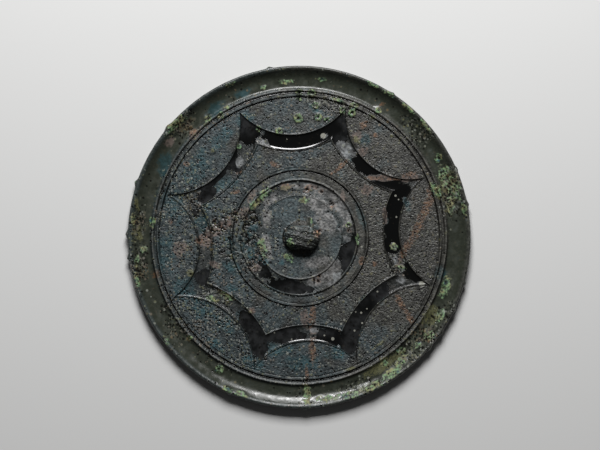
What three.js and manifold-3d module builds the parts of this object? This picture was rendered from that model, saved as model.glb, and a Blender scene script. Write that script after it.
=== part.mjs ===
// A cast bronze mirror, lying on its polished face with the decorated back upward.
// Millimetres, +Z up. The origin is the centre of the polished face, which rests on the table.
// The back carries a plain hollow rim, pairs of ring lines, eight linked arcs and a ribbed knob.
import * as THREE from "three";
import { mergeVertices } from "three/addons/utils/BufferGeometryUtils.js";
import Module from "manifold-3d";

const wasm = await Module();
wasm.setup();

// ---- Driving dimensions: the disc ----
const discRadius = 90;
const turnSteps = 70;
const groundHeight = 2.4; // polished face to the patterned ground
const lipHeight = 5.6; // polished face to the top of the rim

// The edge, from the polished face up to the lip: how far in from the disc's radius, and the height.
const edgeOutline = [[1.4, 0], [0.5, 0.6], [0, 1.8], [0, 4.4], [0.4, 5.3]];

// The plain rim falls from the lip to its lowest part, then climbs a little to the outer line.
const rimOutline = [[1.1, lipHeight], [2.4, 5.2], [5.0, 3.6], [9.2, 2.2], [11.1, 2.5]];
const rimSteps = 7;

// ---- Ring lines: thin raised lines cast on the ground ----
const lineWidth = 1.7;
const lineCrest = 0.5; // width of the rounded top
const lineRise = 0.5;
const rimLineOuter = 77.0;
const rimLineInner = 74.0;
const hubLineOuter = 35.8;

// ---- Hub: a hollow ring between two crests, round a plain seat ----
const hollowOuter = 30.5;
const hollowInner = 22.0;
const hollowDepth = 0.45; // below the ground
const hollowSlices = 4;
const seatHeight = 2.5;
const seatCrestRise = 0.3; // the inner crest above the seat

// ---- Linked arcs: a hollow band, each arc bulging toward the hub ----
const arcCount = 8;
const firstCusp = 25.5; // degrees from +X
const outerCuspRadius = 73.4; // the lobes' tips touch the inner rim line
const outerCrownRadius = 53.4; // nearest the hub, on the lobe's edge
const innerCuspRadius = 54.0;
const innerCrownRadius = 45.5;
const bandCrestRise = 0.45; // the band's two edges stand above the ground
const bandFlankRun = 0.75;
const bandDepth = 0.95; // crest to the lowest part of the hollow
const crestDrop = 0.08; // the hollow starts this far below the crest,
const crestEase = 0.12; // and this far in from it, which leaves a blunt edge
const bandSteps = 13;
const bandSlices = 4;
const cuspOverrun = 0.003; // share of an arc by which one hollow runs into the next

// The arcs were laid out by hand, so they sit a little off the even eighths.
const outerCuspDrift = [0, -0.5, 0, 1.5, 0, 0.5, -0.5, -0.5]; // degrees
const innerCuspDrift = [0.5, 1.5, -1.5, 1.5, 1, 0.5, -1, -2]; // degrees
const outerCrownDrift = [-0.5, 0.5, 0, -0.5, 1, 1, 0.5, -1]; // mm
const innerCrownDrift = [0, 0, -0.5, 0, 0.5, 0.5, 1, -1.5]; // mm

// ---- Knob: a domed strap with three ribs, and a cord hole along Y ----
const knobCentre = new THREE.Vector2(1.2, 0);
const knobRadius = 9.3;
const knobSquash = 0.85; // along Y
const knobHeight = 10.6; // polished face to its top
const knobSide = 0.8; // upright part of its side, below the dome
const knobSteps = 20;
const domeSteps = 6;
const ribCount = 3;
const ribPitch = 4.6;
const ribWidth = 1.7;
const ribRise = 0.5;
const ribTurn = -16; // degrees, the ribs run a little askew
const holeWidth = 9;
const holeFloor = 2.55;
const holeSpring = 5.6; // the arch starts here
const holeTop = 7.5;

// ---- Corrosion crust on the edge: turn from +X in degrees, reach past the edge, width ----
const crustLumps = [
  [11, 0.9, 3.4], [23.5, 0.8, 2.8], [57, 0.7, 2.6], [100, 1.1, 3.2], [140, 1.0, 5.0],
  [161.5, 1.3, 3.6], [179, 1.4, 4.2], [187, 1.2, 3.4], [246, 0.7, 3.0], [272, 1.2, 3.0],
  [319.5, 0.9, 3.4], [326, 1.0, 3.0], [334.5, 0.9, 2.8], [344.5, 0.8, 3.0],
];
const crustHeight = 4.0;
const crustSteps = { around: 7, down: 5 };

const bronze = new THREE.MeshStandardMaterial({ color: 0x3c3f38, roughness: 0.5, metalness: 0.55 });

// ---- Helpers ----

/** Manifold solid of a closed three.js geometry. */
function solidOf(geometry) {
  const bare = geometry.clone();
  bare.deleteAttribute("normal");
  bare.deleteAttribute("uv");
  const merged = mergeVertices(bare, 1e-4);
  return new wasm.Manifold(
    new wasm.Mesh({
      numProp: 3,
      vertProperties: new Float32Array(merged.attributes.position.array),
      triVerts: new Uint32Array(merged.index.array),
    }),
  );
}

/** three.js geometry of a manifold solid. */
function geometryOf(solid) {
  const { vertProperties, triVerts } = solid.getMesh();
  const geometry = new THREE.BufferGeometry();
  geometry.setAttribute("position", new THREE.BufferAttribute(vertProperties, 3));
  geometry.setIndex(new THREE.BufferAttribute(triVerts, 1));
  geometry.computeVertexNormals();
  return geometry;
}

/** Solid turned from a profile of [radius, height] pairs about the Z axis. */
function turned(profile, steps) {
  const points = profile.map(([radius, height]) => new THREE.Vector2(radius, height));
  return solidOf(new THREE.LatheGeometry(points, steps).rotateX(Math.PI / 2));
}

/** Point at a radius and a turn in degrees from +X. */
function polar(radius, degrees) {
  const turn = THREE.MathUtils.degToRad(degrees);
  return new THREE.Vector2(radius * Math.cos(turn), radius * Math.sin(turn));
}

/** Share of a hollow's full depth, by the share of the way across it. */
function hollowShare(across) {
  return 4 * across * (1 - across);
}

/** Profile of one ring line, listed from the outside in. */
function ringLine(radius) {
  return [
    [radius + lineWidth / 2, groundHeight],
    [radius + lineCrest / 2, groundHeight + lineRise],
    [radius - lineCrest / 2, groundHeight + lineRise],
    [radius - lineWidth / 2, groundHeight],
  ];
}

// ---- Disc, rim, ring lines and hub, turned as one ----

function discProfile() {
  const edge = edgeOutline.map(([inward, height]) => [discRadius - inward, height]);
  const rim = new THREE.SplineCurve(
    rimOutline.map(([inward, height]) => new THREE.Vector2(discRadius - inward, height)),
  )
    .getPoints(rimSteps)
    .map(({ x, y }) => [x, y]);
  const hub = [
    [hollowOuter + lineWidth / 2, groundHeight],
    [hollowOuter, groundHeight + lineRise],
  ];
  for (let slice = 1; slice < hollowSlices; slice++) {
    const across = slice / hollowSlices;
    hub.push([
      THREE.MathUtils.lerp(hollowOuter, hollowInner, across),
      groundHeight - hollowDepth * hollowShare(across),
    ]);
  }
  hub.push(
    [hollowInner, seatHeight + seatCrestRise],
    [hollowInner - lineWidth / 2, seatHeight],
    [0, seatHeight],
  );
  return [
    [0, 0],
    ...edge,
    ...rim,
    ...ringLine(rimLineOuter).slice(1),
    ...ringLine(rimLineInner),
    ...ringLine(hubLineOuter),
    ...hub,
  ];
}

// ---- Linked arcs ----

/** Circular curve from start to end by way of the crown. */
function arcThrough(start, crown, end) {
  const centre = new THREE.Vector2();
  const a = crown.clone().sub(start);
  const b = end.clone().sub(start);
  const cross = 2 * a.cross(b);
  centre.set(
    (b.y * a.lengthSq() - a.y * b.lengthSq()) / cross,
    (a.x * b.lengthSq() - b.x * a.lengthSq()) / cross,
  );
  centre.add(start);
  const turnOf = (point) => point.clone().sub(centre).angle();
  const sweep = THREE.MathUtils.euclideanModulo(turnOf(start) - turnOf(end), 2 * Math.PI);
  const radius = centre.distanceTo(start);
  return (along) => {
    const turn = turnOf(start) - sweep * along;
    const outward = new THREE.Vector2(Math.cos(turn), Math.sin(turn));
    return { point: centre.clone().addScaledVector(outward, radius), outward };
  };
}

/** The two edges of the band along one arc, as functions of the way along it. */
function bandEdges(index) {
  const next = (index + 1) % arcCount;
  const even = firstCusp + (360 / arcCount) * index;
  const nextEven = even + 360 / arcCount;
  const edge = (cuspRadius, cuspDrift, crownRadius) => {
    const from = even + cuspDrift[index];
    const to = nextEven + cuspDrift[next];
    return arcThrough(
      polar(cuspRadius, from),
      polar(crownRadius, (from + to) / 2),
      polar(cuspRadius, to),
    );
  };
  return {
    inner: edge(innerCuspRadius, innerCuspDrift, innerCrownRadius + innerCrownDrift[index]),
    outer: edge(outerCuspRadius, outerCuspDrift, outerCrownRadius + outerCrownDrift[index]),
  };
}

/**
 * Solid over one arc of the band. columns lists, from the inner edge to the outer one, the share
 * of the way across, how far past the edge it reaches, and the heights of its top and bottom.
 */
function bandSolid(index, columns, overrun) {
  const { inner, outer } = bandEdges(index);
  const box = new THREE.BoxGeometry(1, 1, 1, bandSteps, columns.length - 1, 1);
  const position = box.attributes.position;
  const vertex = new THREE.Vector3();
  for (let i = 0; i < position.count; i++) {
    vertex.fromBufferAttribute(position, i);
    const along = -overrun + (1 + 2 * overrun) * (vertex.x + 0.5);
    const column = columns[Math.round((vertex.y + 0.5) * (columns.length - 1))];
    const from = inner(along);
    const to = outer(along);
    const place = from.point.clone().lerp(to.point, column.across);
    const sideways = column.across < 0.5 ? from.outward : to.outward.clone().negate();
    place.addScaledVector(sideways, column.past);
    position.setXYZ(i, place.x, place.y, vertex.z > 0 ? column.top : column.bottom);
  }
  return solidOf(turnedOut(box));
}

/** The box above is mapped with its along axis running clockwise, which turns it inside out. */
function turnedOut(geometry) {
  const index = geometry.index;
  for (let i = 0; i < index.count; i += 3) {
    const first = index.getX(i);
    index.setX(i, index.getX(i + 2));
    index.setX(i + 2, first);
  }
  return geometry;
}

const crestHeight = groundHeight + bandCrestRise;

/** Raised blank of one arc: flat at the crests, with a flank down to the ground on either side. */
function bandBlank(index) {
  const foot = { top: groundHeight - 0.1, bottom: groundHeight / 2 };
  const crest = { top: crestHeight, bottom: groundHeight / 2 };
  return bandSolid(
    index,
    [
      { across: 0, past: bandFlankRun, ...foot },
      { across: 0, past: 0, ...crest },
      { across: 1, past: 0, ...crest },
      { across: 1, past: bandFlankRun, ...foot },
    ],
    0,
  );
}

/** Cutter of one arc's hollow, shallow at the crests and deepest in the middle. */
function bandHollow(index) {
  const columns = [];
  for (let slice = 0; slice <= bandSlices; slice++) {
    const across = slice / bandSlices;
    const past = slice === 0 || slice === bandSlices ? -crestEase : 0;
    const depth = THREE.MathUtils.lerp(crestDrop, bandDepth, hollowShare(across));
    columns.push({ across, past, top: knobHeight, bottom: crestHeight - depth });
  }
  return bandSolid(index, columns, cuspOverrun);
}

// ---- Knob ----

/** Domed blank of the knob, grown outward by a given amount. */
function knobDome(grow) {
  const root = groundHeight / 2;
  const springing = seatHeight + knobSide;
  const radius = knobRadius + grow;
  const crown = knobHeight - ribRise + grow;
  const profile = [
    [0, root],
    [radius, root],
  ];
  for (let step = 0; step <= domeSteps; step++) {
    const turn = ((Math.PI / 2) * step) / domeSteps;
    profile.push([
      step === domeSteps ? 0 : radius * Math.cos(turn),
      springing + (crown - springing) * Math.sin(turn),
    ]);
  }
  return turned(profile, knobSteps);
}

/** Slab across the knob, used to leave one rib standing. */
function ribSlab(index) {
  const slab = new THREE.BoxGeometry(4 * knobRadius, ribWidth, 4 * knobHeight);
  slab.translate(0, ribPitch * (index - (ribCount - 1) / 2), 0);
  slab.rotateZ(THREE.MathUtils.degToRad(ribTurn));
  return solidOf(slab);
}

/** Arched cord hole, running along Y right through the knob. */
function cordHole() {
  const half = holeWidth / 2;
  const flat = half / 3;
  const arch = new THREE.Shape();
  arch.moveTo(-half, holeFloor);
  arch.lineTo(half, holeFloor);
  arch.lineTo(half, holeSpring);
  arch.quadraticCurveTo(half, holeTop, flat, holeTop);
  arch.lineTo(-flat, holeTop);
  arch.quadraticCurveTo(-half, holeTop, -half, holeSpring);
  const length = 3 * knobRadius;
  const hole = new THREE.ExtrudeGeometry(arch, {
    depth: length,
    bevelEnabled: false,
    curveSegments: 3,
  });
  return solidOf(hole.rotateX(Math.PI / 2).translate(0, length / 2, 0));
}

function knob() {
  let solid = knobDome(0);
  for (let index = 0; index < ribCount; index++) {
    solid = solid.add(knobDome(ribRise).intersect(ribSlab(index)));
  }
  const place = (piece) => piece.translate([knobCentre.x, knobCentre.y, 0]);
  return {
    body: place(solid.scale([1, knobSquash, 1])),
    hole: place(cordHole()),
  };
}

// ---- Crust on the edge ----

function crustLump([turn, reach, width]) {
  const lump = new THREE.SphereGeometry(1, crustSteps.around, crustSteps.down);
  lump.scale(width / 2, width / 2, crustHeight / 2);
  const centre = polar(discRadius + reach - width / 2, turn);
  return solidOf(lump.translate(centre.x, centre.y, lipHeight - crustHeight / 2));
}

// ---- The casting ----

function mirrorSolid() {
  let casting = turned(discProfile(), turnSteps);
  const arcs = [...Array(arcCount).keys()];
  for (const index of arcs) casting = casting.add(bandBlank(index));
  for (const index of arcs) casting = casting.subtract(bandHollow(index));
  for (const lump of crustLumps) casting = casting.add(crustLump(lump));
  const { body, hole } = knob();
  return casting.add(body).subtract(hole);
}

const mirror = new THREE.Mesh(geometryOf(mirrorSolid()), bronze);
mirror.name = "mirror";

const part = new THREE.Group();
part.add(mirror);

export default part;
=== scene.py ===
"""An ancient cast bronze mirror, lying on its polished face with the decorated back upward.

The back is turned as one closed mesh. Its rows are then bent to follow the eight linked arcs, the ground
gets its fine whorls, the corrosion its pits and crusts, and the cord hole is cut through the knob. One node
material reads the stains and the painted shade in the grooves, which are put on the mesh as attributes.
Shaping is in millimetres, and the mesh ends in metres.
"""

import math
from functools import partial
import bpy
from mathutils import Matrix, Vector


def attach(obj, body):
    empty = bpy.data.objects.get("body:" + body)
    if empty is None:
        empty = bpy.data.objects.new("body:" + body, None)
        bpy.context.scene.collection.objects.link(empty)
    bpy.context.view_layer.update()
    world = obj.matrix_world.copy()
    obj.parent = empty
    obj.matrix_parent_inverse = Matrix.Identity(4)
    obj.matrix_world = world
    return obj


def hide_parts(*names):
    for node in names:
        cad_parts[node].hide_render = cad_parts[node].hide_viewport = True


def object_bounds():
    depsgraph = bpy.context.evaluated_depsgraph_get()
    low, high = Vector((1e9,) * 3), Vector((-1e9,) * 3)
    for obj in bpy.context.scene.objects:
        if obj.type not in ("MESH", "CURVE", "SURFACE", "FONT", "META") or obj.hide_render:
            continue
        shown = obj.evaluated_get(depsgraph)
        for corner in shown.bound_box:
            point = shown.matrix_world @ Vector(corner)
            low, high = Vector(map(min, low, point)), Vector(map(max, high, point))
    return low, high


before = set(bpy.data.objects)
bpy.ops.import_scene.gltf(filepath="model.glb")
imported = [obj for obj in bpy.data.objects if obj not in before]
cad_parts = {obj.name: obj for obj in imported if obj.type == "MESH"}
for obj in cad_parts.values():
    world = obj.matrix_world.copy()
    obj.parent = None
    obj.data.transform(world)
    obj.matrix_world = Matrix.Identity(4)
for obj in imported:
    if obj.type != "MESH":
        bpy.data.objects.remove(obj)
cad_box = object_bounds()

from types import SimpleNamespace

import bmesh
import bpy
import numpy as np
from mathutils import Matrix, Vector, noise

bl_info = {
    "name": "Ancient Bronze Mirror",
    "version": (1, 0, 0),
    "blender": (4, 5, 0),
    "location": "3D View > Sidebar > Mirror",
    "description": "A cast bronze mirror with linked arcs, lying on its polished face",
    "category": "Add Mesh",
}

MM = 0.001
FULL_TURN = 2 * math.pi

# ---- Layout that the casting repeats from its solid ----

ARC_COUNT = 8
FIRST_CUSP = 25.5  # degrees from +X
OUTER_CUSP_DRIFT = (0, -0.5, 0, 1.5, 0, 0.5, -0.5, -0.5)  # degrees
INNER_CUSP_DRIFT = (0.5, 1.5, -1.5, 1.5, 1, 0.5, -1, -2)  # degrees
OUTER_CROWN_DRIFT = (-0.5, 0.5, 0, -0.5, 1, 1, 0.5, -1)  # mm
INNER_CROWN_DRIFT = (0, 0, -0.5, 0, 0.5, 0.5, 1, -1.5)  # mm

# Turn from +X in degrees, reach past the edge and width in mm.
EDGE_LUMPS = (
    (11, 0.9, 3.4), (23.5, 0.8, 2.8), (57, 0.7, 2.6), (100, 1.1, 3.2), (140, 1.0, 5.0), (161.5, 1.3, 3.6),
    (179, 1.4, 4.2), (187, 1.2, 3.4), (246, 0.7, 3.0), (272, 1.2, 3.0), (319.5, 0.9, 3.4), (326, 1.0, 3.0),
    (334.5, 0.9, 2.8), (344.5, 0.8, 3.0),
)

# The knob's place along X in mm, its width along Y as a share of its width along X, and its ribs' turn in
# degrees.
KNOB_X = 1.2
KNOB_SQUASH = 0.85
RIB_TURN = -16

# ---- Mesh density ----

HUB_COLUMNS = 288
FIELD_COLUMNS = 832
RIM_COLUMNS = 448
STAR_ROWS = 19
LOBE_ROWS = 31
DOME_ROWS = 24

# ---- Stains: x and y of the middle, half length and half width in mm, and turn in degrees ----

MALACHITE = (
    (0, 72.5, 3.5, 1.5, 5), (6.5, 75.5, 2.5, 1.5, 0), (0, 76, 2, 1.5, 0), (20, 72, 4.5, 1.5, -14),
    (28.5, 68.5, 3, 2, -20), (22.5, 66.5, 2, 1.5, 0), (27.5, 65, 2.5, 1.5, 20), (37.5, 63.5, 2, 1, -30),
    (41.5, 66.5, 2, 1.5, 0), (10, 63, 2, 1.5, 0), (73, 41.5, 2, 2.5, 0), (76.5, 31.5, 4.5, 6.5, 0),
    (72, 25, 3, 5, 20), (81, 24, 4, 7.5, 0), (79.5, 16, 2.5, 4, 0), (67.5, -52, 4, 3, 20),
    (65.5, -48.5, 2.5, 2, 0), (73.5, -41.5, 2.5, 4.5, -30), (76.5, -27, 3, 7.5, -15),
    (54, -64.5, 6, 2.6, 48), (48, -71.5, 8, 2.6, 36), (37.5, -78, 8, 2.6, 25), (26, -82.5, 8, 2.4, 15),
    (14, -84.5, 6, 2, 6), (4, -83, 3, 6, 0), (-57, -52.5, 2, 1.5, 0), (-37.5, -79.5, 4, 1.5, -25),
    (-30.5, -82, 4, 1.5, -20), (-70, -54, 2, 4, 25), (-81.5, -6, 2, 3, 0), (-85, -12.5, 1.5, 4, 0),
    (-77, 8.5, 2, 3.5, 0), (-41, 64, 2.5, 2, 40), (-48, 62, 2.5, 2, 40), (-38, 68, 2, 1.5, 30),
    (-64.5, 59.5, 9, 2.6, 43), (47, 75, 5, 1.4, -33), (57, 67.5, 5, 1.4, -42), (66, 58.5, 5, 1.4, -50),
    (38, 80, 4, 1.4, -25), (-36, 80, 4, 1.4, 24), (86, 15, 1.6, 5, 10), (-87, 10, 1.4, 5, 5),
    (-85, -22, 1.4, 5, 15), (-19.5, 78.5, 2, 1.5, 0), (-6.5, 81.5, 4, 1.5, 5), (11.5, 82.5, 3.5, 1.5, -5),
    (30.5, -1, 1.5, 3, 0), (2.5, 19.5, 4, 2.4, 0), (-21, 20, 9, 2.4, 48), (-19, -6, 2.4, 8, 15),
    (-6, -10.5, 5, 2.4, -35), (53, -16, 2.5, 2, 0), (-45.5, -32, 4.5, 2, -20), (-37.5, -31, 4, 2, -25),
    (44.5, -66, 3, 2, 30), (62, -56.5, 3, 2, 35), (-4.5, -2.5, 2.6, 3.2, 20), (53, -59, 3.5, 2, 40),
)
TEAL = (
    (7, 68.5, 2.5, 6.5, 50), (-50.8, 6.5, 5, 6.4, 25), (-52, -37.5, 8.5, 6.5, -30),
    (-39, -45.5, 8.5, 4, -40), (-44, -56, 6.5, 3, -35), (-31, -41.5, 3.5, 2.5, -45), (-32, -5, 9, 7, 10),
    (-19.5, -12.5, 5, 3.5, -35), (-24, 2, 3, 8, 0), (-8.5, -13.5, 2, 2, 0), (-23.5, 5.5, 2.5, 5, 10),
    (-26, -6, 3.5, 5, 10), (-66.5, 17.5, 7.5, 11.5, 10), (-70.5, -8.5, 6.5, 13, 0), (-60, -27, 7.5, 7.5, 0),
    (-54, 35.5, 11.5, 6.5, 55), (-39, 28, 8.5, 4.5, 30), (-40.5, 51.5, 9.5, 4.5, 50),
    (-49.5, 17.5, 5, 4, 0), (-35.5, -15.5, 7.5, 4, -40), (-13, -58.5, 11.5, 5, 0), (0, -66, 11.5, 5, 0),
    (-23.5, -66, 7.5, 3.5, -25), (-15.5, -27, 5, 3, -20), (26.5, 42.5, 2, 4, 35), (32, 12, 2, 8.5, 20),
    (20, -59.5, 6.5, 5, 30), (39.5, -32, 8.5, 4, 30), (46.5, 8.5, 2, 2.5, 0), (-28.5, 62, 6.5, 4, 40),
    (-29.5, 75, 5, 3, 30), (-44, 67, 6.5, 4, 40), (-70.5, 38.5, 4, 7.5, -20), (34, 51.5, 5, 3, -40),
    (-35.5, -27, 4, 2.5, -30), (56.5, 17.5, 2, 5, 15), (73.5, -19, 3, 5, -15), (-75.5, -5, 1.5, 2.5, 0),
)
ASH = (
    (-20, 50, 2.5, 2, 0), (-31.5, 39.5, 2.5, 4, -25), (13, 53, 2, 1.5, 10), (25.5, 45, 4.5, 5.5, 40),
    (22, 48, 3, 3, 40), (50, -11.5, 2, 3, 20), (53, -16.5, 2.5, 2.5, 0), (63.5, -24.5, 2, 1.5, 0),
    (49.5, -5, 2, 2.5, 20), (17.5, -24.5, 2.5, 2, 0), (20, -21, 3, 4, -35), (25, -1, 2.5, 2.5, 0),
    (7.5, -49, 2.5, 2, 0), (52.5, -22, 3, 2.5, 0), (-32, -30.5, 3, 1, -40), (22, 4.5, 2, 2, 0),
)
# A thin lilac-grey film on the hub.
HAZE = (
    (14, 23, 7, 3.5, -25), (21.5, 16, 4, 9, 35), (25.5, 7, 3, 5, 10), (9, 17.5, 11, 4.5, -20),
    (14, 8, 6, 8, 30), (-15, 19.5, 6, 2.6, 40), (-17, 10, 3, 8, 0), (11, -22, 9, 4, 15),
    (-17, -6, 3, 9, 10), (9, -13, 9, 4, 10), (0, 27, 9, 2, 0), (18, -16, 4, 6, -30),
)
BUFF = (
    (-42.5, 4.5, 16, 4.2, 35), (-30, 13, 6, 3, 30), (-50, -2, 5, 4, 20), (-25, 22, 2.5, 5, -40),
    (-6.5, 26.5, 4, 2, 5), (7, 26.5, 4.5, 1.5, -5), (45, 11.5, 1.5, 5, 5), (44, 31, 9, 2, -3),
    (58, 31, 6, 2.4, 5), (31, 53, 3, 3, 0), (34, 45, 3, 2.5, 20), (35.5, 25, 5, 3, 0),
    (7.5, -49, 2.5, 2.5, 0), (-25, -38.5, 2.5, 2.5, -45), (-44, -14.5, 4, 2.5, -20),
    (-23, -16.5, 3, 3, -30), (17.5, 17, 1.5, 1.5, 0), (26, 6.5, 2, 1.5, 0), (9, 1.5, 2, 2.5, 0),
    (23, 21.5, 2, 2.5, 0), (3, -42.5, 3, 7.5, 0), (52.5, -13.5, 2.5, 3, 20), (-62.5, -6, 4.5, 4.5, 0),
    (63.5, 6.5, 1.5, 1, 0), (-54.5, 54, 4, 2.5, 45), (-67.5, 50, 2.5, 4, -40),
)
RUST = (
    (69, 22, 2.4, 8, -10), (65.5, 13, 3, 8, -26), (61, 3.5, 3, 8, -28), (56, -5.5, 2.6, 6.5, -30),
    (53.5, -35, 2, 7, 28), (58, -42, 2, 5, 25), (42, 31, 3.5, 1, 0), (37.5, 31, 3, 1, 0),
    (57.5, 33, 4.5, 1.5, 15), (49.5, 30.5, 4, 1, 0), (-12.5, 38, 3, 1.5, -30), (-32, 34, 2, 1, 25),
    (-26.5, 71, 2, 1, 30), (43, 69.5, 2, 1, 30), (34, 59, 3, 2.5, 40), (-55.5, 55.5, 2.5, 2, 30),
    (-53, -2, 2.5, 2, 0), (-34, 23.5, 3.5, 1.5, 5), (7, -41, 2.2, 7, 0), (6.5, -58.5, 2.2, 9, 3),
    (4, -71.5, 1.2, 5, 5), (3.5, -77, 2, 1, 0), (8, -53.5, 2, 1.5, 0), (-25.5, -39, 1.5, 1.5, 0),
    (-75, -19.5, 2.5, 3, 0), (-6.5, 27, 3.5, 1, 0), (17.5, 16.5, 1.5, 1.5, 0), (9.5, 2, 1.5, 2, 0),
    (23, 38.5, 4, 1.5, 45), (18.5, 34.5, 3.5, 1.2, 30), (46.5, -27.5, 1.5, 1, 0), (68, -54.5, 2, 1.5, 0),
    (-35, 12, 2, 1, 30), (40, 53.5, 1.5, 1.5, 0), (-67.5, 8.5, 1.5, 2, 0), (-59, 38.5, 2, 1.5, 0),
    (32.5, -12.5, 2, 2.5, 0), (39.5, -14, 1.5, 1.5, 0),
)
OCHRE = (
    (-6.5, 26, 3.5, 1.5, 5), (-19.5, 21.5, 4, 1.5, 45), (2.5, 19.5, 2.5, 1.5, 0), (48.5, 53, 1.5, 1.5, 0),
    (30, 51, 2, 2.5, 0), (-49.5, 59, 2, 1.5, 0), (-66, 58.5, 7, 2, 43), (76, 27.5, 4, 5, 0),
    (73.5, 22, 2.5, 3, 0), (69, -42.5, 4, 6.5, -35), (50, -70, 7.5, 1.5, 32), (34, -80, 7.5, 1.5, 18),
    (18.5, -84, 5, 1.5, 8), (4, -80, 2.5, 2.5, 0), (-26, -39, 1.5, 1, -40), (-39, -30.5, 4.5, 1.5, -25),
    (42, -56, 7.5, 1, 38), (26.5, -69, 5, 1, 20), (45, -66, 15, 3.6, 34), (68, -41, 3.4, 9, -32),
    (-83.5, 1.5, 2, 6.5, 0), (-85, 17.5, 1.5, 4, 10), (3.5, -77, 2.5, 1, 0), (-21.5, 58, 1, 1.5, 0),
    (-45.5, 45.5, 1.5, 1.5, 0), (-57.5, -19, 2.5, 2.5, 0),
)
# Where the hollows still have their black gloss.
GLOSS = (
    (-27, 58, 7, 9, 0), (0.5, 52, 19, 8, 0), (19.5, 58, 7, 9, 0), (22, 52, 3.5, 3, 0), (-43, 35, 14, 4, 47),
    (-34, 38.5, 5, 4, 60), (-49, 22, 5, 3.2, 30), (-54.5, 12.5, 1.2, 2, 30), (-50, -21, 4.5, 4, 20),
    (35.2, 38, 10.5, 5, -42), (48.5, 26.3, 10.5, 4, -12), (50, 11, 5, 14, 0), (48.8, -4, 5, 4.5, 0),
    (62, -18.7, 9, 5, -25), (40.5, -29, 7, 5.5, 45), (31, -40.6, 12, 7, 50), (26.3, -53, 5, 8, 0),
    (16, -53, 7, 5, 0), (-8.7, -51.6, 12, 4.5, 0), (-25.5, -45.5, 7, 5, -50), (-21.5, -55, 4.5, 8, 12),
    (14.5, 25.7, 4.5, 2, -30), (19.3, 22, 4, 2.4, -48), (23.7, 17, 4, 2.2, -55), (26.7, 12, 3.5, 1.7, -66),
    (25.8, -12, 6, 14, -18), (-5, -26.5, 12, 4, -8), (-19, -17.5, 5, 3, -45),
)
# Where the crust is thick and grainy.
CRUST = (
    (-35, 4.5, 20, 13, 25), (-42.5, -37.5, 20, 8, -50), (-19.5, -1, 12, 24, 0), (79.5, 25, 7, 17, 0),
    (65.5, -53, 10, 24, -50), (30, -80, 18, 5, 17), (3, -80, 5, 8, 0), (-63.5, 61, 12, 8, 40),
    (-85.5, -3.5, 6, 26, 0), (-39, -59, 16, 10, -35), (14, 71, 13, 5, -14), (-10, 24, 14, 6, 10),
    (-62, 10, 14, 28, 0), (52, -14, 7, 7, 0), (-60, -42, 10, 14, 40), (62, 56, 10, 10, 0),
)
# Where dust has settled on the gloss.
FILM = (
    (-50, 18, 9, 14, 0), (-50, -21, 8, 8, 0), (26, -11, 6, 12, -18), (-25, -48, 9, 9, 0),
    (-21, -58, 6, 9, 0), (-9, -52, 14, 6, 0), (29, -56, 7, 9, 0), (26, 62, 5, 8, 0), (-28, 60, 6, 8, 0),
    (24, -24, 14, 18, 0), (0, -29, 14, 6, 0), (8, -47, 18, 6, 0), (26, -44, 10, 8, 30),
    (-24, -12, 8, 14, 0), (44, -28, 8, 12, 30), (24, 47, 5, 8, 20), (-34, 34, 6, 12, -40),
    (-22, 24, 8, 8, 0),
)

# ---- Raised rings of malachite round a sunk middle: x, y, radius, rise, in mm ----

RINGED_WARTS = (
    (-0.5, 62.5, 2.1, 0.5), (-10.5, 55.5, 1.7, 0.45), (-21.5, 57, 1.3, 0.4), (-31.5, 47.5, 1.2, 0.4),
    (8.5, 69, 1.7, 0.45), (10, 63, 1.8, 0.4), (14.5, 61.5, 1.4, 0.4), (22.5, 66.5, 1.6, 0.45),
    (27.5, 65, 1.7, 0.4), (28.5, 68.5, 1.9, 0.5), (6.5, 75.5, 1.8, 0.5), (0, 76, 1.6, 0.5),
    (41.5, 66.5, 1.5, 0.4), (-42, -69, 2.0, 0.5), (-48, 62, 1.6, 0.4), (-41, 64, 1.5, 0.4),
    (49.5, -5, 1.8, 0.4), (73, 41.5, 1.8, 0.5), (5.5, 8.5, 1.4, 0.4), (26, 6.5, 1.3, 0.35),
)

# ---- Scattered marks: x, y, half length, half width and turn of the area, how many, and their radius ----

PIT_AREAS = (
    (-33, -3, 12, 9, 0, 110, 0.62), (-40, 7, 14, 4, 36, 40, 0.9), (-24, -18, 6, 6, 0, 26, 0.6),
    (-42, -31, 9, 4, -25, 30, 0.6), (80, 22, 5, 14, 0, 46, 0.75), (70, -45, 6, 14, -38, 52, 0.6),
    (-57, 58, 9, 4, 45, 30, 0.7), (12, 22, 14, 6, -20, 16, 0.7), (12, -20, 12, 7, 10, 12, 0.6),
    (-83, 0, 3, 22, 0, 30, 0.7), (-78, -38, 4, 16, 25, 20, 0.6), (53, -17, 5, 4, 0, 12, 0.55),
    (28, -58, 3, 7, 0, 26, 0.5), (0, 0, 88, 88, 0, 120, 0.5), (-40, 0, 45, 62, 0, 130, 0.55),
    (-27, -55, 12, 6, -30, 22, 0.55), (4, 81, 22, 4, 0, 26, 0.6), (-75, 30, 6, 20, -20, 22, 0.6),
    (30, -80, 30, 5, 18, 36, 0.6), (8, 4, 7, 6, 0, 14, 0.6), (35, 40, 10, 8, 0, 20, 0.5),
    (-25, 5, 5, 10, 0, 50, 1.1), (-20, -14, 5, 6, 0, 30, 0.7),
)
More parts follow.
